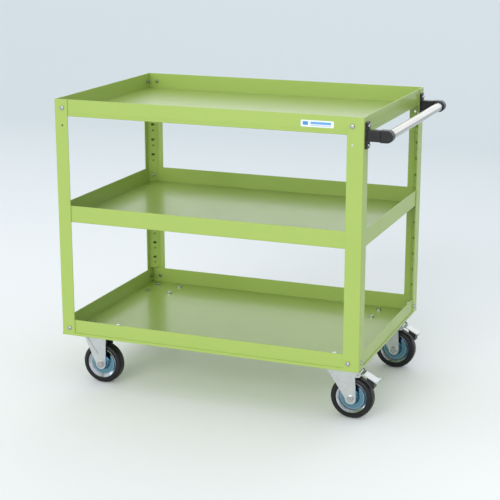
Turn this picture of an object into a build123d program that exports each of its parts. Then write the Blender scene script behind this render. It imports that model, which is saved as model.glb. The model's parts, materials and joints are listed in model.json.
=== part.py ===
from build123d import *
import os
from math import hypot

# Three-tray steel service trolley. Millimetres, +Z up, floor at z = 0, +X towards the push handle,
# -Y is the long front side. Four equal corner posts, turned a quarter turn from corner to corner,
# carry three pressed trays. Two fixed casters stand under the left end, two braked swivel casters
# under the handle end.

# ---------------------------------------------------------------- driving dimensions
frame_length = 920.0        # over the posts, along X
frame_width = 620.0         # over the posts, along Y
frame_height = 706.0        # underside of the bottom tray to the top of the posts

post_gauge = 2.3            # sheet of the posts
post_narrow_leg = 41.0
post_wide_leg = 46.5
post_corner_radius = 3.0
web_gauge = 1.6             # slotted web that closes each post to a triangle
web_on_narrow_leg = 24.0    # where the web meets the narrow leg, from the post's corner
web_on_wide_leg = 32.0
web_end_gap = 3.0           # between a tray's rim and the end of the web
web_above_slot = 22.0       # web above the highest slot
slot_pitch = 50.0           # height steps of the middle tray
slot_length = 12.0
slot_height = 8.0
slot_first_height = 88.5    # lowest slot, above the underside of the bottom tray
slot_top_margin = 65.0      # no slot closer than this to the top tray
screw_below_slot = 19.0     # round locking hole under each slot
screw_hole_radius = 2.6

hole_on_narrow_leg = 24.0   # bolt column on each leg, from the post's corner
hole_on_wide_leg = 32.0
bolt_from_post_top = 25.0
bolt_above_base = 23.0
handle_hole_drop = 50.0     # second handle hole, under the top bolt
bolt_hole_radius = 3.3

tray_rim_height = 49.0
tray_gauge = 1.6            # floor of a tray
tray_rim_gauge = 2.4        # rim, folded back on itself
tray_bend_radius = 2.5
rim_edge_radius = 0.8
band_height = 9.0           # foot band of the bottom tray, and the crease of the top tray
crease_height = 1.2
crease_depth = 0.6
middle_tray_slot = 6        # slots left free under the one the middle tray hangs in
middle_tray_play = 0.3      # between the middle tray and the posts
slot_below_rim = 7.5        # the middle tray's slot, under the top of its rim
hook_width = 7.0
hook_height = 5.0
hook_reach = 6.0

stiffener_width = 60.0
stiffener_depth = 15.0
stiffener_flange = 15.0
stiffener_gauge = 1.2
stiffener_end_gap = 60.0

m6_radius = 3.0
m6_head_radius = 6.5
m6_head_height = 4.0
m6_nut_flats = 10.0
m6_nut_height = 5.0
m6_end = 2.0                # thread showing past a nut
recess_depth = 1.6          # cross recess of a screw head
recess_width = 1.3
recess_length = 6.5
thread_gap = 0.05           # radial, between a thread or a tight pin and its hole
hex_chamfer = 0.6
m5_head_radius = 4.8
m5_head_height = 2.6
m5_length = 8.0             # under the head

handle_reach = 75.0         # post face to the end of the handle arms
handle_tube_radius = 12.5
handle_tube_wall = 1.2
handle_plate_margin = 10.5  # bracket plate beyond its two screws, up and down
handle_plate_width = 28.0
handle_plate_gauge = 6.0
handle_arm_height = 30.0
handle_arm_width = 24.0
handle_arm_split = 40.0     # post face to the joint between bracket and socket
handle_arm_step = 1.5       # the socket stands proud of the bracket's arm
handle_joint_play = 0.2
handle_socket_depth = 16.0
handle_tube_play = 0.1
handle_spigot = 15.0        # square tongue of the bracket, inside the socket
handle_spigot_length = 4.0
handle_edge_radius = 2.5

label_length = 92.0
label_height = 18.0
label_gauge = 0.4
label_corner_radius = 2.0
label_from_right = 84.0     # post's outer face to the label's near end
label_below_rim = 15.5

caster_inset_left = 80.0    # plate centre from the frame's end
caster_inset_right = 70.0
caster_inset_side = 84.0
plate_size = 105.0
plate_gauge = 5.0
plate_corner_radius = 8.0
plate_bolt_pitch = 80.0
plate_slot_length = 13.0
m8_radius = 4.0
m8_hole_radius = 4.5
m8_head_flats = 13.0
m8_head_height = 5.3
m8_nut_height = 6.5
m8_end = 2.5

wheel_radius = 62.5
plate_above_wheel = 39.0    # top of the tyre to the underside of the bottom tray
tyre_width = 36.0
tyre_seat_radius = 44.0
tyre_seat_width = 26.0
tyre_shoulder = 7.0
rim_flange_radius = 46.0
disc_gauge = 1.6
disc_dish_radius = 36.0
disc_dish_depth = 6.0
disc_cone_radius = 22.0
disc_collar_width = 2.0
disc_hub_step = 1.0         # the hub stands proud of the discs
hub_radius = 15.0
hub_bore_radius = 10.0
hub_length = 40.0
bush_wall_gap = 0.05        # running clearance of the bush on the axle
axle_radius = 6.0
axle_nut_flats = 18.0
axle_nut_height = 9.0
axle_head_height = 7.5
wheel_side_gap = 0.3        # hub to washer
fork_inner_width = 44.0
fork_gauge = 3.0
fork_axle_end_radius = 16.0
fixed_axle_offset = 12.0    # axle from the plate's centre, towards the handle
fixed_leg_left = 46.0
fixed_leg_right = 32.0
swivel_trail = 29.0
swivel_leg_left = 42.0
swivel_leg_right = 41.0
leg_rib_width = 4.0         # stiffening rib along each leg's slanting edge
leg_rib_height = 2.5
leg_rib_inset = 4.0

race_height = 13.0          # plate underside to the top of the swivel fork
crown_gauge = 4.0
ball_radius = 3.0
ball_circle_radius = 24.0
ball_count = 16
ball_play = 0.05
race_outer_radius = 32.0
race_skirt_gauge = 2.5
race_skirt_gap = 0.6
kingpin_radius = 8.0
kingpin_play = 0.06
kingpin_head_radius = 13.0
kingpin_head_height = 6.0
kingpin_head_gap = 0.3
kingpin_top_sink = 0.5

brake_pin_out = 50.0        # pin from the swivel axis
brake_pin_below_crown = 10.0
brake_pin_radius = 3.0
brake_pin_head = 1.5
brake_pin_head_radius = 4.5
brake_pin_play = 0.05
brake_barrel_radius = 5.5
brake_lug_radius = 8.0
pedal_width = 34.0
pedal_gauge = 2.5
pedal_reach = 103.0         # pedal's tip from the swivel axis
pedal_drop = 22.0           # pedal's tip below the pin
pedal_knee = 64.0
pedal_knee_drop = 1.5
pedal_lip = 7.0
shoe_width = 26.0
shoe_start = 72.0
shoe_end = 94.0
shoe_gap = 8.0              # shoe to tyre with the brake off
shoe_length = 22.0

os.makedirs("parts", exist_ok=True)

# ---------------------------------------------------------------- places
bolt_stand = m6_head_height
centre_x = -(handle_reach - bolt_stand) / 2
left_x = centre_x - frame_length / 2
right_x = centre_x + frame_length / 2
front_y = -frame_width / 2
back_y = frame_width / 2
base_z = 2 * wheel_radius + plate_above_wheel
post_top_z = base_z + frame_height
bolt_z_low = base_z + bolt_above_base
bolt_z_high = post_top_z - bolt_from_post_top
handle_screw_z = (bolt_z_high, bolt_z_high - handle_hole_drop)
axle_z = wheel_radius
top_rim_z = post_top_z - tray_rim_height
slot_first_z = base_z + slot_first_height
slot_count = 1 + int((top_rim_z - slot_top_margin - slot_first_z) / slot_pitch)
slot_heights = [slot_first_z + slot_pitch * step for step in range(slot_count)]
middle_slot_z = slot_heights[middle_tray_slot]
screw_z = middle_slot_z - screw_below_slot
middle_tray_top = middle_slot_z + slot_below_rim
web_run_narrow = web_on_narrow_leg - post_gauge
web_run_wide = web_on_wide_leg - post_gauge
web_slope = hypot(web_run_narrow, web_run_wide)

# A corner's place puts the post's outer corner at the frame's corner. The narrow leg runs along the
# place's +X and the wide leg along its +Y, so each corner is the last one turned by 90 degrees.
corners = {
    "front_left": Location((left_x, front_y, 0), (0, 0, 0)),
    "front_right": Location((right_x, front_y, 0), (0, 0, 90)),
    "back_right": Location((right_x, back_y, 0), (0, 0, 180)),
    "back_left": Location((left_x, back_y, 0), (0, 0, 270)),
}


def save(piece, name):
    piece.label = name
    export_step(piece, f"parts/{name}.step")


def web_line(distance, margin):
    """Ends of a line parallel to the post's web, this far on the tray's side of it, cut off where it
    comes within the margin of the legs' inner faces."""
    scale = 1 + distance * web_slope / (web_run_narrow * web_run_wide)
    on_narrow = web_run_narrow * (scale - margin / web_run_wide)
    on_wide = web_run_wide * (scale - margin / web_run_narrow)
    return (
        (post_gauge + on_narrow, post_gauge + margin),
        (post_gauge + margin, post_gauge + on_wide),
    )


def web_plane(distance):
    """Plane on the web's tray side, this far in front of it, with X along the web and Y up."""
    middle_x = post_gauge + web_run_narrow / 2
    middle_y = post_gauge + web_run_wide / 2
    normal = Vector(web_run_wide, web_run_narrow, 0).normalized()
    return Plane(
        origin=Vector(middle_x, middle_y, 0) + normal * distance,
        x_dir=(-web_run_narrow, web_run_wide, 0),
        z_dir=normal,
    )


# ---------------------------------------------------------------- posts
foot_z = base_z + band_height
web_bottom_z = base_z + tray_rim_height + web_end_gap
web_top_z = slot_heights[-1] + web_above_slot
narrow_leg_holes = [(hole_on_narrow_leg, z) for z in (bolt_z_low, *handle_screw_z)]
wide_leg_holes = [(hole_on_wide_leg, z) for z in (bolt_z_low, *handle_screw_z)]

with BuildPart() as post:
    with BuildSketch(Plane.XY.offset(foot_z)):
        with BuildLine():
            Polyline(
                (0, 0),
                (post_narrow_leg, 0),
                (post_narrow_leg, post_gauge),
                (post_gauge, post_gauge),
                (post_gauge, post_wide_leg),
                (0, post_wide_leg),
                close=True,
            )
        make_face()
    extrude(amount=post_top_z - foot_z)
    outer_corner = post.edges().filter_by(Axis.Z).sort_by(lambda e: e.center().X + e.center().Y)[0]
    fillet(outer_corner, post_corner_radius)
    with BuildSketch(Plane.XY.offset(web_bottom_z)):
        with BuildLine():
            Polyline(*web_line(0, 0), *reversed(web_line(-web_gauge, 0)), close=True)
        make_face()
    extrude(amount=web_top_z - web_bottom_z)
    with BuildSketch(web_plane(0)):
        with Locations(*[(0, z) for z in slot_heights]):
            SlotOverall(slot_length, slot_height)
        with Locations(*[(0, z - screw_below_slot) for z in slot_heights]):
            Circle(screw_hole_radius)
    extrude(amount=web_gauge, both=True, mode=Mode.SUBTRACT)
    with BuildSketch(Plane.XZ):
        with Locations(*narrow_leg_holes):
            Circle(bolt_hole_radius)
    extrude(amount=-post_gauge, mode=Mode.SUBTRACT)
    with BuildSketch(Plane.YZ):
        with Locations(*wide_leg_holes):
            Circle(bolt_hole_radius)
    extrude(amount=post_gauge, mode=Mode.SUBTRACT)

for corner, place in corners.items():
    save(post.part.moved(place), f"post_{corner}")


# ---------------------------------------------------------------- trays
frame_centre = (centre_x, 0)
inner_length = frame_length - 2 * post_gauge
inner_width = frame_width - 2 * post_gauge


def leg_place(corner, leg, z):
    """Place on a post leg's outer face at its bolt column, with +Z out of the face."""
    if leg == "narrow":
        return corners[corner] * Location((hole_on_narrow_leg, 0, z), (90, 0, 0))
    return corners[corner] * Location((0, hole_on_wide_leg, z), (0, -90, 0))


all_legs = [(corner, leg) for corner in corners for leg in ("narrow", "wide")]
handle_legs = [("front_right", "narrow"), ("back_right", "wide")]


def cut_rim_holes(z):
    with Locations(*[leg_place(corner, leg, z) for corner, leg in all_legs]):
        Cylinder(bolt_hole_radius, 4 * (post_gauge + tray_rim_gauge), mode=Mode.SUBTRACT)


fixed_x = left_x + caster_inset_left
swivel_x = right_x - caster_inset_right
side_y = frame_width / 2 - caster_inset_side
caster_centres = {
    "front_left": (fixed_x, -side_y),
    "back_left": (fixed_x, side_y),
    "front_right": (swivel_x, -side_y),
    "back_right": (swivel_x, side_y),
}
half_pitch = plate_bolt_pitch / 2
plate_corners = [(dx, dy) for dx in (-half_pitch, half_pitch) for dy in (-half_pitch, half_pitch)]
plate_bolts = [(x + dx, y + dy) for x, y in caster_centres.values() for dx, dy in plate_corners]

with BuildPart() as top_tray:
    with BuildSketch(Plane.XY.offset(top_rim_z)):
        with Locations(frame_centre):
            Rectangle(inner_length, inner_width)
    extrude(amount=tray_rim_height)
    fillet(top_tray.edges().group_by(Axis.Z)[0], tray_bend_radius)
    with BuildSketch(Plane.XY.offset(top_rim_z + tray_gauge)):
        with Locations(frame_centre):
            Rectangle(inner_length - 2 * tray_rim_gauge, inner_width - 2 * tray_rim_gauge)
    extrude(amount=tray_rim_height, mode=Mode.SUBTRACT)
    fillet(top_tray.edges().group_by(Axis.Z)[-1], rim_edge_radius)
    with BuildSketch(Plane.XY.offset(top_rim_z + band_height)):
        with Locations(frame_centre):
            Rectangle(frame_length, frame_width)
            Rectangle(
                inner_length - 2 * crease_depth, inner_width - 2 * crease_depth, mode=Mode.SUBTRACT
            )
    extrude(amount=crease_height, mode=Mode.SUBTRACT)
    cut_rim_holes(bolt_z_high)
save(top_tray.part, "top_tray")

with BuildPart() as bottom_tray:
    with BuildSketch(Plane.XY.offset(base_z)):
        with Locations(frame_centre):
            Rectangle(frame_length, frame_width)
    extrude(amount=band_height)
    fillet(bottom_tray.edges().group_by(Axis.Z)[0], tray_bend_radius)
    with BuildSketch(Plane.XY.offset(base_z + band_height)):
        with Locations(frame_centre):
            Rectangle(inner_length, inner_width)
    extrude(amount=tray_rim_height - band_height)
    with BuildSketch(Plane.XY.offset(base_z + tray_gauge)):
        with Locations(frame_centre):
            Rectangle(inner_length - 2 * tray_rim_gauge, inner_width - 2 * tray_rim_gauge)
    extrude(amount=tray_rim_height, mode=Mode.SUBTRACT)
    fillet(bottom_tray.edges().group_by(Axis.Z)[-1], rim_edge_radius)
    cut_rim_holes(bolt_z_low)
    with BuildSketch(Plane.XY.offset(base_z)):
        with Locations(*plate_bolts):
            Circle(m8_hole_radius)
    extrude(amount=tray_gauge, mode=Mode.SUBTRACT)
save(bottom_tray.part, "bottom_tray")

middle_rim_z = middle_tray_top - tray_rim_height
middle_length = inner_length - 2 * middle_tray_play
middle_width = inner_width - 2 * middle_tray_play
with BuildSketch() as middle_outline:
    with Locations(frame_centre):
        Rectangle(middle_length, middle_width)
    with Locations(*corners.values()):
        Polygon((0, 0), *web_line(middle_tray_play, 0), align=None, mode=Mode.SUBTRACT)
with BuildPart() as middle_tray:
    with BuildSketch(Plane.XY.offset(middle_rim_z)):
        add(middle_outline.sketch)
    extrude(amount=tray_rim_height)
    fillet(middle_tray.edges().group_by(Axis.Z)[0], tray_bend_radius)
    with BuildSketch(Plane.XY.offset(middle_rim_z + tray_gauge)):
        add(middle_outline.sketch)
        offset(amount=-tray_rim_gauge, kind=Kind.INTERSECTION, mode=Mode.REPLACE)
    extrude(amount=tray_rim_height, mode=Mode.SUBTRACT)
    fillet(middle_tray.edges().group_by(Axis.Z)[-1], rim_edge_radius)
    for place in corners.values():
        rim_plane = Plane(place * web_plane(middle_tray_play).location)
        with BuildSketch(rim_plane):
            with Locations((0, middle_slot_z - (slot_height - hook_height) / 2)):
                SlotOverall(hook_width, hook_height)
        extrude(amount=-hook_reach)
        with BuildSketch(rim_plane):
            with Locations((0, screw_z)):
                Circle(screw_hole_radius)
        extrude(amount=2 * tray_rim_gauge, mode=Mode.SUBTRACT)
save(middle_tray.part, "middle_tray")


# ---------------------------------------------------------------- stiffeners under the trays
stiffener_length = frame_length - 2 * stiffener_end_gap
stiffener_profile = [
    (-stiffener_width / 2 - stiffener_flange, 0),
    (-stiffener_width / 2, 0),
    (-stiffener_width / 2, -stiffener_depth),
    (stiffener_width / 2, -stiffener_depth),
    (stiffener_width / 2, 0),
    (stiffener_width / 2 + stiffener_flange, 0),
]
with BuildPart() as stiffener:
    with BuildSketch(Plane.YZ):
        with BuildLine():
            Polyline(*stiffener_profile)
            offset(amount=stiffener_gauge, side=Side.RIGHT, kind=Kind.INTERSECTION)
        make_face()
    extrude(amount=stiffener_length)
stiffener_x = centre_x - stiffener_length / 2
for tray, floor_z in (("top", top_rim_z), ("middle", middle_rim_z), ("bottom", base_z)):
    save(stiffener.part.moved(Location((stiffener_x, 0, floor_z))), f"{tray}_tray_stiffener")


# ---------------------------------------------------------------- fasteners
def pan_screw(radius, head_radius, head_height, length):
    """Screw with a domed, cross-recessed head above z = 0 and its shank below."""
    with BuildPart() as screw:
        with BuildSketch():
            Circle(head_radius)
        extrude(amount=head_height)
        fillet(screw.faces().sort_by(Axis.Z)[-1].edges(), 0.7 * head_height)
        with BuildSketch(Plane.XY.offset(head_height)):
            Rectangle(recess_length, recess_width)
            Rectangle(recess_width, recess_length)
        extrude(amount=-recess_depth, mode=Mode.SUBTRACT)
        with BuildSketch():
            Circle(radius)
        extrude(amount=-length)
    return screw.part


def hex_head(flats, height):
    with BuildPart() as head:
        with BuildSketch():
            RegularPolygon(flats / 2, 6, major_radius=False)
        extrude(amount=height)
        chamfer(head.faces().sort_by(Axis.Z)[-1].edges(), hex_chamfer)
    return head.part


def hex_bolt(radius, flats, head_height, length):
    with BuildPart() as bolt:
        add(hex_head(flats, head_height))
        with BuildSketch():
            Circle(radius)
        extrude(amount=-length)
    return bolt.part


def hex_nut(radius, flats, height):
    """Nut below z = 0, with its chamfered side down."""
    with BuildPart() as nut:
        add(hex_head(flats, height).rotate(Axis.X, 180))
        with BuildSketch():
            Circle(radius + thread_gap)
        extrude(amount=-height, mode=Mode.SUBTRACT)
    return nut.part


def fastener_group(name, sets):
    """One node of separate solids: each set is a fastener and the places it goes in."""
    with BuildPart() as group:
        for fastener, places in sets:
            with Locations(*places):
                add(fastener)
    save(group.part, name)


def sunk(places, depth):
    return [place * Location((0, 0, -depth)) for place in places]


low_places = [leg_place(corner, leg, bolt_z_low) for corner, leg in all_legs]
high_places = [
    leg_place(corner, leg, bolt_z_high) for corner, leg in all_legs if (corner, leg) not in handle_legs
]
handle_places = [
    [leg_place(corner, leg, z) for corner, leg in handle_legs] for z in handle_screw_z
]
rim_grip = post_gauge + tray_rim_gauge
rim_screw_length = rim_grip + m6_nut_height + m6_end
lower_screw_length = handle_plate_gauge + post_gauge + m6_nut_height + m6_end
rim_screw = pan_screw(m6_radius, m6_head_radius, m6_head_height, rim_screw_length)
upper_handle_screw = pan_screw(
    m6_radius, m6_head_radius, m6_head_height, handle_plate_gauge + rim_screw_length
)
lower_handle_screw = pan_screw(m6_radius, m6_head_radius, m6_head_height, lower_screw_length)
m6_nut = hex_nut(m6_radius, m6_nut_flats, m6_nut_height)

fastener_group("tray_screws", [(rim_screw, low_places + high_places)])
fastener_group(
    "handle_screws",
    [
        (upper_handle_screw, sunk(handle_places[0], -handle_plate_gauge)),
        (lower_handle_screw, sunk(handle_places[1], -handle_plate_gauge)),
    ],
)
fastener_group(
    "m6_nuts",
    [
        (m6_nut, sunk(low_places + high_places + handle_places[0], rim_grip)),
        (m6_nut, sunk(handle_places[1], post_gauge)),
    ],
)
web_screw = pan_screw(screw_hole_radius - thread_gap, m5_head_radius, m5_head_height, m5_length)
web_screw_places = [
    place * web_plane(middle_tray_play + tray_rim_gauge).location * Location((0, screw_z, 0))
    for place in corners.values()
]
fastener_group("middle_tray_screws", [(web_screw, web_screw_places)])

# ---------------------------------------------------------------- push handle
handle_z = sum(handle_screw_z) / len(handle_screw_z)
handle_plate_height = handle_hole_drop + 2 * handle_plate_margin
socket_radius = handle_arm_height / 2 + handle_arm_step
socket_width = handle_arm_width + 2 * handle_arm_step
tube_x = right_x + handle_reach - socket_radius
arm_y = {"front": front_y + hole_on_narrow_leg, "back": back_y - hole_on_wide_leg}
inward = {"front": 1, "back": -1}

for side, y in arm_y.items():
    with BuildPart() as bracket:
        with BuildSketch(Plane.YZ.offset(right_x)):
            with Locations((y, handle_z)):
                RectangleRounded(handle_plate_width, handle_plate_height, handle_edge_radius)
        extrude(amount=handle_plate_gauge)
        fillet(bracket.faces().sort_by(Axis.X)[-1].edges(), handle_edge_radius / 2)
        with BuildSketch(Plane.YZ.offset(right_x)):
            with Locations((y, handle_z)):
                RectangleRounded(handle_arm_width, handle_arm_height, handle_edge_radius)
        extrude(amount=handle_arm_split)
        with BuildSketch(Plane.YZ.offset(right_x + handle_arm_split)):
            with Locations((y, handle_z)):
                Rectangle(handle_spigot, handle_spigot)
        extrude(amount=handle_spigot_length)
        with BuildSketch(Plane.YZ.offset(right_x)):
            with Locations(*[(y, z) for z in handle_screw_z]):
                Circle(bolt_hole_radius)
        extrude(amount=handle_plate_gauge, mode=Mode.SUBTRACT)
    save(bracket.part, f"handle_bracket_{side}")

    socket_start = right_x + handle_arm_split + handle_joint_play
    mouth_face = y + inward[side] * socket_width / 2
    with BuildPart() as socket:
        with BuildSketch(Plane.XZ.offset(-y)):
            with Locations((tube_x, handle_z)):
                Circle(socket_radius)
            with Locations(((socket_start + tube_x) / 2, handle_z)):
                Rectangle(tube_x - socket_start, 2 * socket_radius)
        extrude(amount=socket_width / 2, both=True)
        fillet(socket.faces().filter_by(Axis.Y).edges(), handle_edge_radius)
        with BuildSketch(Plane.XZ.offset(-mouth_face)):
            with Locations((tube_x, handle_z)):
                Circle(handle_tube_radius + handle_tube_play)
        extrude(amount=inward[side] * handle_socket_depth, mode=Mode.SUBTRACT)
        with BuildSketch(Plane.YZ.offset(socket_start)):
            with Locations((y, handle_z)):
                Rectangle(handle_spigot + 2 * handle_joint_play, handle_spigot + 2 * handle_joint_play)
        extrude(amount=handle_spigot_length + handle_joint_play, mode=Mode.SUBTRACT)
    save(socket.part, f"handle_socket_{side}")

tube_start = arm_y["front"] + socket_width / 2 - handle_socket_depth + handle_tube_play
tube_end = arm_y["back"] - socket_width / 2 + handle_socket_depth - handle_tube_play
with BuildPart() as handle_tube:
    with BuildSketch(Plane.XZ.offset(-tube_start)):
        with Locations((tube_x, handle_z)):
            Circle(handle_tube_radius)
            Circle(handle_tube_radius - handle_tube_wall, mode=Mode.SUBTRACT)
    extrude(amount=tube_start - tube_end)
save(handle_tube.part, "handle_tube")

# ---------------------------------------------------------------- label plate on the top tray's front rim
label_x = right_x - label_from_right - label_length / 2
label_z = post_top_z - label_below_rim - label_height / 2
with BuildPart() as label_plate:
    with BuildSketch(Plane.XZ.offset(-front_y - post_gauge)):
        with Locations((label_x, label_z)):
            RectangleRounded(label_length, label_height, label_corner_radius)
    extrude(amount=label_gauge)
save(label_plate.part, "label_plate")


# ---------------------------------------------------------------- casters
fork_half_width = fork_inner_width / 2
plate_bottom_z = base_z - plate_gauge


def mounting_plate():
    with BuildPart() as plate:
        with BuildSketch(Plane.XY.offset(plate_bottom_z)):
            RectangleRounded(plate_size, plate_size, plate_corner_radius)
            with Locations(*plate_corners):
                SlotOverall(plate_slot_length, 2 * m8_hole_radius, mode=Mode.SUBTRACT)
        extrude(amount=plate_gauge)
    return plate.part


def fork_leg(top_z, left, right, axle_x, lug=None):
    """The near leg of a fork with its stiffening rib, between a straight top and a round axle end."""
    low_left = axle_x - fork_axle_end_radius
    low_right = axle_x + fork_axle_end_radius
    with BuildPart() as leg:
        with BuildSketch(Plane.XZ.offset(fork_half_width)):
            with BuildLine():
                Polyline((low_left, axle_z), (-left, top_z), (right, top_z), (low_right, axle_z))
                ThreePointArc(
                    (low_right, axle_z), (axle_x, axle_z - fork_axle_end_radius), (low_left, axle_z)
                )
            make_face()
            if lug:
                with Locations(lug):
                    Circle(brake_lug_radius)
                with Locations(((right + lug[0]) / 2 - brake_lug_radius, lug[1])):
                    Rectangle(lug[0] - right + 2 * brake_lug_radius, 2 * brake_lug_radius)
        extrude(amount=fork_gauge)
        rib_start = fork_half_width + fork_gauge
        with BuildSketch(Plane.XZ.offset(rib_start)):
            with BuildLine():
                Polyline(
                    (leg_rib_inset - left, top_z - leg_rib_inset),
                    (leg_rib_inset + leg_rib_width - left, top_z - leg_rib_inset),
                    (low_left + leg_rib_inset + leg_rib_width, axle_z + 2 * fork_axle_end_radius),
                    (low_left + leg_rib_inset, axle_z + 2 * fork_axle_end_radius),
                    close=True,
                )
            make_face()
        extrude(amount=leg_rib_height)
        with BuildSketch(Plane.XZ.offset(fork_half_width)):
            with Locations((axle_x, axle_z)):
                Circle(axle_radius + thread_gap)
            if lug:
                with Locations(lug):
                    Circle(brake_pin_radius + thread_gap)
        extrude(amount=fork_gauge, mode=Mode.SUBTRACT)
    return leg.part


def fixed_fork():
    leg = fork_leg(plate_bottom_z, fixed_leg_left, fixed_leg_right, fixed_axle_offset)
    with BuildPart() as fork:
        add(mounting_plate())
        add(leg)
        add(leg.mirror(Plane.XZ))
    return fork.part


crown_top_z = plate_bottom_z - race_height
crown_bottom_z = crown_top_z - crown_gauge
brake_pin_z = crown_top_z - brake_pin_below_crown


def swivel_plate():
    """Mounting plate with the upper ball race and its dust skirt."""
    race_bottom_z = crown_top_z + 2 * ball_radius + 2 * ball_play
    with BuildPart() as plate:
        add(mounting_plate())
        with BuildSketch(Plane.XY.offset(race_bottom_z)):
            Circle(race_outer_radius)
        extrude(amount=plate_bottom_z - race_bottom_z)
        with BuildSketch(Plane.XY.offset(crown_top_z + race_skirt_gap)):
            Circle(race_outer_radius)
            Circle(race_outer_radius - race_skirt_gauge, mode=Mode.SUBTRACT)
        extrude(amount=race_bottom_z - crown_top_z)
        with BuildSketch(Plane.XY.offset(base_z)):
            Circle(kingpin_radius + thread_gap)
        extrude(amount=race_bottom_z - base_z, mode=Mode.SUBTRACT)
    return plate.part


def ball_ring():
    with BuildPart() as balls:
        with Locations((0, 0, crown_top_z + ball_play + ball_radius)):
            with PolarLocations(ball_circle_radius, ball_count):
                Sphere(ball_radius)
    return balls.part


def kingpin():
    """Rivet pin: fast in the plate, turning in the fork's crown, with its head below."""
    head_top_z = crown_bottom_z - kingpin_head_gap
    with BuildPart() as pin:
        with BuildSketch(Plane.XY.offset(head_top_z)):
            Circle(kingpin_head_radius)
        extrude(amount=-kingpin_head_height)
        fillet(pin.faces().sort_by(Axis.Z)[0].edges(), kingpin_head_height / 2)
        with BuildSketch(Plane.XY.offset(head_top_z)):
            Circle(kingpin_radius)
        extrude(amount=base_z - kingpin_top_sink - head_top_z)
    return pin.part


def swivel_fork():
    lug = (brake_pin_out, brake_pin_z)
    leg = fork_leg(crown_top_z, swivel_leg_left, swivel_leg_right, swivel_trail, lug)
    with BuildPart() as fork:
        with BuildSketch(Plane.XY.offset(crown_bottom_z)):
            with Locations(((swivel_leg_right - swivel_leg_left) / 2, 0)):
                Rectangle(swivel_leg_left + swivel_leg_right, fork_inner_width)
            Circle(kingpin_radius + kingpin_play, mode=Mode.SUBTRACT)
        extrude(amount=crown_gauge)
        add(leg)
        add(leg.mirror(Plane.XZ))
    return fork.part


def brake_pedal():
    """Pressed pedal on its barrel, with the tip turned up. The shoe hangs under its outer half."""
    tip_z = brake_pin_z - pedal_drop
    with BuildPart() as pedal:
        with BuildSketch(Plane.XZ.offset(-pedal_width / 2)):
            with BuildLine():
                Polyline(
                    (brake_pin_out, brake_pin_z),
                    (pedal_knee, brake_pin_z - pedal_knee_drop),
                    (pedal_reach, tip_z),
                    (pedal_reach + pedal_lip / 2, tip_z + pedal_lip),
                )
                offset(amount=pedal_gauge, side=Side.LEFT, kind=Kind.INTERSECTION)
            make_face()
            with Locations((brake_pin_out, brake_pin_z)):
                Circle(brake_barrel_radius)
                Circle(brake_pin_radius + brake_pin_play, mode=Mode.SUBTRACT)
        extrude(amount=pedal_width)
    return pedal.part


def brake_shoe():
    slope = (pedal_drop - pedal_knee_drop) / (pedal_reach - pedal_knee)

    def under_pedal(x):
        return brake_pin_z - pedal_knee_drop - slope * (x - pedal_knee)

    with BuildPart() as shoe:
        with BuildSketch(Plane.XZ.offset(-shoe_width / 2)):
            with BuildLine():
                Polyline(
                    (shoe_start, under_pedal(shoe_start)),
                    (shoe_end, under_pedal(shoe_end)),
                    (shoe_end, under_pedal(shoe_end) - shoe_length),
                    (shoe_start, under_pedal(shoe_start) - shoe_length),
                    close=True,
                )
            make_face()
            with Locations((swivel_trail, axle_z)):
                Circle(wheel_radius + shoe_gap, mode=Mode.SUBTRACT)
        extrude(amount=shoe_width)
    return shoe.part


def cross_pin():
    half_length = fork_half_width + fork_gauge
    with BuildPart() as pin:
        with BuildSketch(Plane.XZ.offset(-half_length)):
            with Locations((brake_pin_out, brake_pin_z)):
                Circle(brake_pin_radius)
        extrude(amount=2 * half_length)
        for face_y in (-half_length - brake_pin_head, half_length):
            with BuildSketch(Plane.XZ.offset(-face_y - brake_pin_head)):
                with Locations((brake_pin_out, brake_pin_z)):
                    Circle(brake_pin_head_radius)
            extrude(amount=brake_pin_head)
    return pin.part


def axle_set(axle_x):
    """Bolt, nut and two washers, across the fork at the wheel's centre."""
    leg_face = fork_half_width + fork_gauge
    near = Location((axle_x, -leg_face, axle_z), (90, 0, 0))
    far = Location((axle_x, leg_face, axle_z), (90, 0, 0))
    bolt_length = 2 * leg_face + axle_nut_height + m8_end
    with BuildPart() as axle:
        with Locations(near):
            add(hex_bolt(axle_radius, axle_nut_flats, axle_head_height, bolt_length))
        with Locations(far):
            add(hex_nut(axle_radius, axle_nut_flats, axle_nut_height))
        for washer_y in (-fork_half_width, hub_length / 2 + wheel_side_gap):
            with BuildSketch(Plane.XZ.offset(-washer_y)):
                with Locations((axle_x, axle_z)):
                    Circle(hub_bore_radius)
                    Circle(axle_radius + thread_gap, mode=Mode.SUBTRACT)
            extrude(amount=-(fork_half_width - hub_length / 2 - wheel_side_gap))
    return axle.part


def tyre():
    half_width = tyre_width / 2
    half_seat = tyre_seat_width / 2
    shoulder_radius = tyre_seat_radius + half_width - half_seat
    with BuildPart() as piece:
        with BuildSketch(Plane.YZ):
            with BuildLine():
                Polyline(
                    (-half_seat, tyre_seat_radius),
                    (half_seat, tyre_seat_radius),
                    (half_width, shoulder_radius),
                    (half_width, wheel_radius),
                    (-half_width, wheel_radius),
                    (-half_width, shoulder_radius),
                    close=True,
                )
            face = make_face()
            fillet(face.vertices().group_by(Axis.Y)[-1], tyre_shoulder)
        revolve(axis=Axis.Y)
    return piece.part


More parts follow.
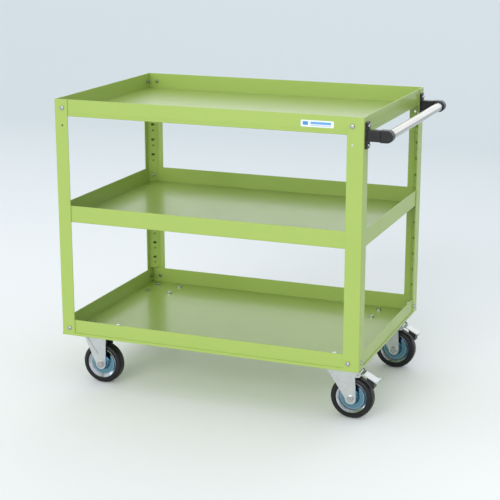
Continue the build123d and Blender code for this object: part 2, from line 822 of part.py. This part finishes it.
def wheel_discs():
    """Two pressed steel discs back to back: hub collar, cone, dish, then the seat and lip under the tyre."""
    lip_y = tyre_seat_width / 2
    dish_y = lip_y - disc_dish_depth
    collar_y = hub_length / 2 - disc_hub_step
    lip_rise = rim_flange_radius - tyre_seat_radius
    with BuildPart() as discs:
        with BuildSketch(Plane.YZ):
            with BuildLine():
                Polyline(
                    (collar_y, hub_radius),
                    (collar_y, hub_radius + disc_collar_width),
                    (dish_y, disc_cone_radius),
                    (dish_y, disc_dish_radius),
                    (lip_y, tyre_seat_radius - disc_gauge),
                )
                offset(amount=disc_gauge, side=Side.LEFT, kind=Kind.INTERSECTION)
            make_face()
            with BuildLine():
                Polyline(
                    (0, tyre_seat_radius),
                    (lip_y, tyre_seat_radius),
                    (lip_y + lip_rise, rim_flange_radius),
                )
                offset(amount=disc_gauge, side=Side.RIGHT, kind=Kind.INTERSECTION)
            make_face()
        revolve(axis=Axis.Y)
        mirror(about=Plane.XZ)
    return discs.part


def sleeve(outer_radius, inner_radius):
    with BuildPart() as piece:
        with BuildSketch(Plane.XZ.offset(-hub_length / 2)):
            Circle(outer_radius)
            Circle(inner_radius, mode=Mode.SUBTRACT)
        extrude(amount=hub_length)
    return piece.part


wheel_pieces = {
    "tyre": tyre(),
    "wheel_discs": wheel_discs(),
    "hub": sleeve(hub_radius, hub_bore_radius),
    "bush": sleeve(hub_bore_radius, axle_radius + bush_wall_gap),
}
fixed_pieces = {"fork": fixed_fork(), "axle": axle_set(fixed_axle_offset)}
swivel_pieces = {
    "mounting_plate": swivel_plate(),
    "swivel_balls": ball_ring(),
    "kingpin": kingpin(),
    "fork": swivel_fork(),
    "axle": axle_set(swivel_trail),
    "brake_pedal": brake_pedal(),
    "brake_shoe": brake_shoe(),
    "brake_pin": cross_pin(),
}
for corner, (x, y) in caster_centres.items():
    fixed = corner.endswith("left")
    axle_x = fixed_axle_offset if fixed else swivel_trail
    for name, piece in (fixed_pieces if fixed else swivel_pieces).items():
        save(piece.moved(Location((x, y, 0))), f"{corner}_{name}")
    for name, piece in wheel_pieces.items():
        save(piece.moved(Location((x + axle_x, y, axle_z))), f"{corner}_{name}")

bolt_heads = [Location((x, y, base_z + tray_gauge)) for x, y in plate_bolts]
nut_seats = [Location((x, y, plate_bottom_z)) for x, y in plate_bolts]
plate_bolt_length = tray_gauge + plate_gauge + m8_nut_height + m8_end
plate_bolt = hex_bolt(m8_radius, m8_head_flats, m8_head_height, plate_bolt_length)
fastener_group("caster_bolts", [(plate_bolt, bolt_heads)])
fastener_group("caster_nuts", [(hex_nut(m8_radius, m8_head_flats, m8_nut_height), nut_seats)])
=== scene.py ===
# %% [markdown]
# A steel trolley with three pressed trays, four folded corner posts, a push handle and four
# casters. Its shape and its moving parts are already fixed in the CAD model, so this lesson only
# gives it its looks. The first step loads the model as a frame. Every finish and every new piece
# is placed from it.

# %% Load the frame
import bmesh
import bpy
import json
from math import cos, pi, radians, sin
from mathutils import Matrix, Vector


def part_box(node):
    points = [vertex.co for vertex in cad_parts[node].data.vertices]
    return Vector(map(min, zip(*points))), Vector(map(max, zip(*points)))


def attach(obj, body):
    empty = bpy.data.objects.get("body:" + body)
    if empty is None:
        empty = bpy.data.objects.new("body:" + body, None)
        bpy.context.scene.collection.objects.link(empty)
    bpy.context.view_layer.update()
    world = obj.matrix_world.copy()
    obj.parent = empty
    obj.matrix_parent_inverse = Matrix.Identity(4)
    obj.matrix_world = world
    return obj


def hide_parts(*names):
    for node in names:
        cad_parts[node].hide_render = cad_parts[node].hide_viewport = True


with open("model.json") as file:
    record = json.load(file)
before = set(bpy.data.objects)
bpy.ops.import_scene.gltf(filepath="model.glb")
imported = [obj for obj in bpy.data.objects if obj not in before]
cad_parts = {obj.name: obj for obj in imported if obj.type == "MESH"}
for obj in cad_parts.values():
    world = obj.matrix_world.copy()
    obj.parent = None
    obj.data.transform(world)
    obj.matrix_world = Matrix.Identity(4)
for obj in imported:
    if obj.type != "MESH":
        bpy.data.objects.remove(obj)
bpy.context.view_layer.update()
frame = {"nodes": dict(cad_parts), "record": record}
nodes = frame["nodes"]

# %% [markdown]
# Every finish on the trolley has some unevenness: paint flows, zinc crystals grow, rubber is
# dusty. Each one starts from noise over the piece's own Object coordinates, in metres, and the
# helpers run that noise into the colour, the roughness or the bump. Squeezing the coordinates more
# along one axis than along another turns the same noise into brush marks. Image textures would
# need unwrapping, and noise doesn't.


# %% Helpers for the finishes
def new_finish(name):
    finish = bpy.data.materials.new(name)
    finish.use_nodes = True
    return finish, finish.node_tree, finish.node_tree.nodes["Principled BSDF"]


def noise(tree, scale, detail=3.0, stretch=(1, 1, 1)):
    place = tree.nodes.new("ShaderNodeTexCoord")
    squeeze = tree.nodes.new("ShaderNodeMapping")
    squeeze.inputs["Scale"].default_value = stretch
    grain = tree.nodes.new("ShaderNodeTexNoise")
    grain.inputs["Scale"].default_value = scale
    grain.inputs["Detail"].default_value = detail
    tree.links.new(place.outputs["Object"], squeeze.inputs["Vector"])
    tree.links.new(squeeze.outputs["Vector"], grain.inputs["Vector"])
    return grain.outputs["Fac"]


def colour_from(tree, pattern, low, high, shader):
    """The base colour runs from low to high as the pattern rises."""
    ramp = tree.nodes.new("ShaderNodeValToRGB")
    ramp.color_ramp.elements[0].position = 0.3
    ramp.color_ramp.elements[0].color = (*low, 1)
    ramp.color_ramp.elements[1].position = 0.7
    ramp.color_ramp.elements[1].color = (*high, 1)
    tree.links.new(pattern, ramp.inputs["Fac"])
    tree.links.new(ramp.outputs["Color"], shader.inputs["Base Color"])


def roughness_from(tree, pattern, low, high, shader):
    """The roughness runs from low to high as the pattern rises."""
    spread = tree.nodes.new("ShaderNodeMapRange")
    spread.inputs["From Min"].default_value = 0.3
    spread.inputs["From Max"].default_value = 0.7
    spread.inputs["To Min"].default_value = low
    spread.inputs["To Max"].default_value = high
    tree.links.new(pattern, spread.inputs["Value"])
    tree.links.new(spread.outputs["Result"], shader.inputs["Roughness"])


def bump_from(tree, pattern, depth, shader, strength=1.0):
    """The surface rises and falls with the pattern, by a depth in metres."""
    bump = tree.nodes.new("ShaderNodeBump")
    bump.inputs["Distance"].default_value = depth
    bump.inputs["Strength"].default_value = strength
    tree.links.new(pattern, bump.inputs["Height"])
    tree.links.new(bump.outputs["Normal"], shader.inputs["Normal"])


# %% [markdown]
# The sheet steel is sprayed lime green and baked. Baked enamel is glossy, with a fine orange peel
# that breaks up reflections, and it varies very slightly in colour where it lies thicker. A thin
# clear coat over the base gives the sharp part of the gloss, and the peel is a shallow bump.

# %% Lime enamel
enamel, tree, shader = new_finish("lime_enamel")
colour_from(tree, noise(tree, 5), (0.314, 0.432, 0.097), (0.322, 0.442, 0.101), shader)
roughness_from(tree, noise(tree, 12), 0.285, 0.325, shader)
bump_from(tree, noise(tree, 160, 1), 0.00002, shader, 0.4)
shader.inputs["Specular IOR Level"].default_value = 0.3
shader.inputs["Coat Weight"].default_value = 0.1
shader.inputs["Coat Roughness"].default_value = 0.08

# %% [markdown]
# The forks and pedals are dull zinc-plated sheet, the fasteners are bright zinc, and the tube is
# stainless steel, brushed along its length. One helper makes all three, with another colour,
# roughness and grain for each. Stretching the grain along Y gives the tube its brush marks.


# %% Plated steel
def plated(name, low, high, rough, grain_scale, stretch=(1, 1, 1)):
    finish, tree, shader = new_finish(name)
    shader.inputs["Metallic"].default_value = 1.0
    colour_from(tree, noise(tree, grain_scale, 4, stretch), low, high, shader)
    roughness_from(tree, noise(tree, grain_scale * 2, 3, stretch), *rough, shader)
    bump_from(tree, noise(tree, grain_scale * 4, 2, stretch), 0.00001, shader, 0.4)
    return finish


fork_zinc = plated("fork_zinc", (0.50, 0.52, 0.52), (0.56, 0.58, 0.58), (0.29, 0.37), 40)
bright_zinc = plated("bright_zinc", (0.38, 0.39, 0.40), (0.50, 0.51, 0.52), (0.12, 0.22), 150)
handle_steel = plated("handle_steel", (0.42, 0.41, 0.39), (0.52, 0.51, 0.49), (0.16, 0.24), 30, (8, 0.3, 8))


# %% [markdown]
# The passivated film on a wheel disc is thickest in its dished middle, which comes out blue, and
# is worn to bright steel on the outer ring. The tone follows the distance from the wheel's own
# centre, so each wheel has its own copy of the finish, centred by a Mapping node.

# %% Wheel discs
blue_out_to = 0.033
bright_from = 0.038


def disc_zinc(node):
    finish = plated(f"{node}_zinc", (0.50, 0.54, 0.58), (0.62, 0.66, 0.70), (0.10, 0.20), 45)
    tree = finish.node_tree
    shader = tree.nodes["Principled BSDF"]
    low_corner, high_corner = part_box(node)
    middle = (Vector(low_corner) + Vector(high_corner)) / 2
    place = tree.nodes.new("ShaderNodeTexCoord")
    centred = tree.nodes.new("ShaderNodeMapping")
    centred.inputs["Location"].default_value = (-middle.x, 0, -middle.z)
    centred.inputs["Scale"].default_value = (1, 0, 1)
    reach = tree.nodes.new("ShaderNodeVectorMath")
    reach.operation = "LENGTH"
    ring = tree.nodes.new("ShaderNodeMapRange")
    ring.inputs["From Min"].default_value = blue_out_to
    ring.inputs["From Max"].default_value = bright_from
    tint = tree.nodes.new("ShaderNodeMix")
    tint.data_type = "RGBA"
    tint.inputs["A"].default_value = (0.13, 0.27, 0.36, 1)
    worn = shader.inputs["Base Color"].links[0].from_socket
    tree.links.new(place.outputs["Object"], centred.inputs["Vector"])
    tree.links.new(centred.outputs["Vector"], reach.inputs[0])
    tree.links.new(reach.outputs["Value"], ring.inputs["Value"])
    tree.links.new(ring.outputs["Result"], tint.inputs["Factor"])
    tree.links.new(worn, tint.inputs["B"])
    tree.links.new(tint.outputs["Result"], shader.inputs["Base Color"])
    return finish


# %% [markdown]
# The handle's brackets and sockets, the brake shoes and the bushes are black plastic with a fine
# moulded grain. The tyres are rubber, which is as dark, a little duller and coarser in its grain.

# %% Plastic and rubber
black_plastic, tree, shader = new_finish("black_plastic")
colour_from(tree, noise(tree, 90), (0.006, 0.006, 0.007), (0.012, 0.012, 0.013), shader)
roughness_from(tree, noise(tree, 200), 0.30, 0.42, shader)
shader.inputs["Specular IOR Level"].default_value = 0.3
bump_from(tree, noise(tree, 1600, 2), 0.00008, shader, 0.6)

tyre_rubber, tree, shader = new_finish("tyre_rubber")
colour_from(tree, noise(tree, 35, 5), (0.004, 0.004, 0.005), (0.010, 0.010, 0.011), shader)
roughness_from(tree, noise(tree, 60), 0.34, 0.50, shader)
shader.inputs["Specular IOR Level"].default_value = 0.3
bump_from(tree, noise(tree, 700, 3), 0.00012, shader, 0.5)

# %% [markdown]
# The foil label on the top tray's rim is left generic: a pale foil with a blue block, a blue bar
# and a thin grey bar below it. Each is drawn by comparing the X and Z coordinates with the label's
# own box.

# %% Label foil
foil, tree, shader = new_finish("label_foil")
shader.inputs["Roughness"].default_value = 0.3
low_corner, high_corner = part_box("label_plate")
place = tree.nodes.new("ShaderNodeTexCoord")
axes = tree.nodes.new("ShaderNodeSeparateXYZ")
tree.links.new(place.outputs["Object"], axes.inputs["Vector"])


def band(axis, start, end):
    """1 between two shares of the label's length or height, and 0 outside them."""
    index = "XYZ".index(axis)
    size = high_corner[index] - low_corner[index]
    middle = low_corner[index] + size * (start + end) / 2
    inside = tree.nodes.new("ShaderNodeMath")
    inside.operation = "COMPARE"
    inside.inputs[1].default_value = middle
    inside.inputs[2].default_value = size * (end - start) / 2
    tree.links.new(axes.outputs[axis], inside.inputs[0])
    return inside.outputs["Value"]


def block(x_start, x_end, z_start, z_end):
    both = tree.nodes.new("ShaderNodeMath")
    both.operation = "MULTIPLY"
    tree.links.new(band("X", x_start, x_end), both.inputs[0])
    tree.links.new(band("Z", z_start, z_end), both.inputs[1])
    return both.outputs["Value"]


def print_over(under, mask, ink):
    mix = tree.nodes.new("ShaderNodeMix")
    mix.data_type = "RGBA"
    mix.inputs["B"].default_value = (*ink, 1)
    tree.links.new(mask, mix.inputs["Factor"])
    tree.links.new(under, mix.inputs["A"])
    return mix.outputs["Result"]


sheen = tree.nodes.new("ShaderNodeValToRGB")
sheen.color_ramp.elements[0].color = (0.62, 0.70, 0.76, 1)
sheen.color_ramp.elements[1].color = (0.70, 0.78, 0.84, 1)
tree.links.new(noise(tree, 40), sheen.inputs["Fac"])
printed = print_over(sheen.outputs["Color"], block(0.06, 0.22, 0.25, 0.80), (0.05, 0.22, 0.55))
printed = print_over(printed, block(0.30, 0.92, 0.42, 0.78), (0.10, 0.30, 0.60))
printed = print_over(printed, block(0.30, 0.92, 0.18, 0.28), (0.35, 0.38, 0.42))
tree.links.new(printed, shader.inputs["Base Color"])
bump_from(tree, noise(tree, 500), 0.00003, shader)

# %% [markdown]
# Each node of the model has a material slot name in the record. A table from slot to finish
# dresses the whole model in one loop, so no node is forgotten. Only the wheel discs get a finish
# of their own each.

# %% Dress the nodes
finishes = {
    "green_paint": enamel,
    "zinc_steel": fork_zinc,
    "bright_zinc": bright_zinc,
    "stainless": handle_steel,
    "black_plastic": black_plastic,
    "rubber": tyre_rubber,
    "label_print": foil,
}
for part in frame["record"]["subparts"]:
    discs = part["material_slot"] == "blue_zinc"
    finish = disc_zinc(part["node"]) if discs else finishes[part["material_slot"]]
    for slot in nodes[part["node"]].material_slots:
        slot.material = finish

# %% [markdown]
# A moulded tyre isn't a plain ring. Its shoulders are full rounds, a thin raised ring runs round
# each sidewall, and the two halves of the mould leave a fine line round the tread. One half of
# the section is written from the seat out to the tread, mirrored, and spun about the axle. The
# size comes from the CAD tyre, which each new one replaces, and it turns with the same wheel.

# %% Tyres
seat_overlap = 0.0015
ring_height = 0.0006
mould_line_height = 0.0003
shoulder = 0.009
shoulder_steps = 8
spin_steps = 96


def tyre_section(seat, radius, half_width):
    """Points (distance from the axle, distance along it) round a tyre's closed section."""
    side = half_width - ring_height
    tread = radius - mould_line_height
    near = [
        (seat, half_width - 0.005),
        (seat + 0.0045, side),
        (seat + 0.0050, side),
        (seat + 0.0055, half_width),
        (seat + 0.0067, half_width),
        (seat + 0.0072, side),
    ]
    for step in range(shoulder_steps + 1):
        turn = pi / 2 * step / shoulder_steps
        out = tread - shoulder + shoulder * sin(turn)
        near.append((out, side - shoulder + shoulder * cos(turn)))
    near += [(tread, 0.0006), (radius, 0.0002)]
    return near + [(out, -along) for out, along in reversed(near)]


def moulded_tyre(corner):
    low_corner, high_corner = (Vector(point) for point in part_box(f"{corner}_tyre"))
    disc_low, disc_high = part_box(f"{corner}_wheel_discs")
    axle = (low_corner + high_corner) / 2
    radius = (high_corner.z - low_corner.z) / 2
    half_width = (high_corner.y - low_corner.y) / 2
    seat = (disc_high[2] - disc_low[2]) / 2 - seat_overlap
    section = tyre_section(seat, radius, half_width)
    shape = bmesh.new()
    points = [shape.verts.new(axle + Vector((out, along, 0))) for out, along in section]
    edges = [shape.edges.new((points[i - 1], points[i])) for i in range(len(points))]
    bmesh.ops.spin(
        shape,
        geom=points + edges,
        cent=axle,
        axis=(0, 1, 0),
        angle=2 * pi,
        steps=spin_steps,
        use_merge=True,
    )
    bmesh.ops.remove_doubles(shape, verts=shape.verts, dist=0.00001)
    bmesh.ops.recalc_face_normals(shape, faces=shape.faces)
    mesh = bpy.data.meshes.new(f"{corner}_moulded_tyre")
    shape.to_mesh(mesh)
    shape.free()
    mesh.materials.append(tyre_rubber)
    mesh.shade_smooth()
    mesh.set_sharp_from_angle(angle=radians(35))
    piece = bpy.data.objects.new(f"{corner}_moulded_tyre", mesh)
    bpy.context.scene.collection.objects.link(piece)
    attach(piece, f"wheel_{corner}")
    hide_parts(f"{corner}_tyre")
    return piece


corners = ["front_left", "front_right", "back_left", "back_right"]
tyres = [moulded_tyre(corner) for corner in corners]
print([(tyre.name, len(tyre.data.polygons)) for tyre in tyres])

# %% [markdown]
# The trolley stands on a plain pale floor that runs out of view on all sides, so it needs no
# backdrop. Its colour is painted nearly white in front and a pale blue grey towards the back: a
# painted fall of light, lit near the trolley and shaded far off, which lets the trolley stand out.
# The tone follows the floor's own Y coordinate.

# %% Floor
floor_reach = 30
pale_up_to = -0.5
grey_from = 4.0
paper, tree, shader = new_finish("floor_paper_painted_falloff")
place = tree.nodes.new("ShaderNodeTexCoord")
axes = tree.nodes.new("ShaderNodeSeparateXYZ")
depth = tree.nodes.new("ShaderNodeMapRange")
depth.inputs["From Min"].default_value = pale_up_to
depth.inputs["From Max"].default_value = grey_from
# Painted light: the floor is coloured paler in front and greyer behind, standing for light that falls off
# towards the back.
floor_painted_falloff = tree.nodes.new("ShaderNodeMix")
floor_painted_falloff.data_type = "RGBA"
floor_painted_falloff.inputs["A"].default_value = (0.96, 0.965, 0.97, 1)
floor_painted_falloff.inputs["B"].default_value = (0.62, 0.68, 0.71, 1)
tree.links.new(place.outputs["Object"], axes.inputs["Vector"])
tree.links.new(axes.outputs["Y"], depth.inputs["Value"])
tree.links.new(depth.outputs["Result"], floor_painted_falloff.inputs["Factor"])
tree.links.new(floor_painted_falloff.outputs["Result"], shader.inputs["Base Color"])
shader.inputs["Roughness"].default_value = 0.8
bump_from(tree, noise(tree, 300), 0.0001, shader, 0.3)
shape = bmesh.new()
bmesh.ops.create_grid(shape, x_segments=1, y_segments=1, size=floor_reach)
floor_mesh = bpy.data.meshes.new("floor")
shape.to_mesh(floor_mesh)
shape.free()
floor_mesh.materials.append(paper)
floor = bpy.data.objects.new("floor", floor_mesh)
bpy.context.scene.collection.objects.link(floor)

# %% [markdown]
# Glossy paint needs something large and pale to reflect, and open trays need light that comes in
# from the side. Two wide suns do both: one low in front and a weaker one low behind. A sun has no
# place of its own, so the floor is lit evenly as far as it reaches, where an area lamp would end in
# a bright edge. A pale sky does the rest, a little darker overhead, and keeps the shadows faint.

# %% Light
low_sky = 1.06
high_sky = 0.80


def wide_sun(name, across, towards_back, up, width, strength):
    """A sun that shines from the given direction, as wide as the angle in degrees."""
    lamp = bpy.data.lights.new(name, "SUN")
    lamp.angle = radians(width)
    lamp.energy = strength
    holder = bpy.data.objects.new(name, lamp)
    holder.rotation_euler = Vector((across, towards_back, up)).to_track_quat("Z", "Y").to_euler()
    bpy.context.scene.collection.objects.link(holder)


wide_sun("front_sun", -0.4, -5.0, 1.5, 45, 1.75)
wide_sun("back_sun", 0.0, 7.5, 3.4, 60, 0.5)

sky = bpy.data.worlds.new("sky")
sky.use_nodes = True
tree = sky.node_tree
heading = tree.nodes.new("ShaderNodeTexCoord")
parts = tree.nodes.new("ShaderNodeSeparateXYZ")
fade = tree.nodes.new("ShaderNodeMapRange")
fade.inputs["From Max"].default_value = 0.7
fade.inputs["To Min"].default_value = low_sky
fade.inputs["To Max"].default_value = high_sky
tree.links.new(heading.outputs["Generated"], parts.inputs["Vector"])
tree.links.new(parts.outputs["Z"], fade.inputs["Value"])
tree.links.new(fade.outputs["Result"], tree.nodes["Background"].inputs["Strength"])
tree.nodes["Background"].inputs["Color"].default_value = (0.93, 0.97, 1.0, 1)
bpy.context.scene.world = sky

# %% [markdown]
# The camera stands off to the right and looks a little down, with a long lens, so that the posts
# stay nearly parallel and the handle end shows.

# %% Camera
look_down = 14.89
turned_left = 21.54
lens = bpy.data.cameras.new("camera")
lens.lens = 95.7
camera = bpy.data.objects.new("camera", lens)
camera.location = (1.407, -3.610, 1.426)
camera.rotation_euler = (radians(90 - look_down), 0, radians(turned_left))
bpy.context.scene.collection.objects.link(camera)
bpy.context.scene.camera = camera
bpy.context.scene.view_settings.view_transform = "Standard"
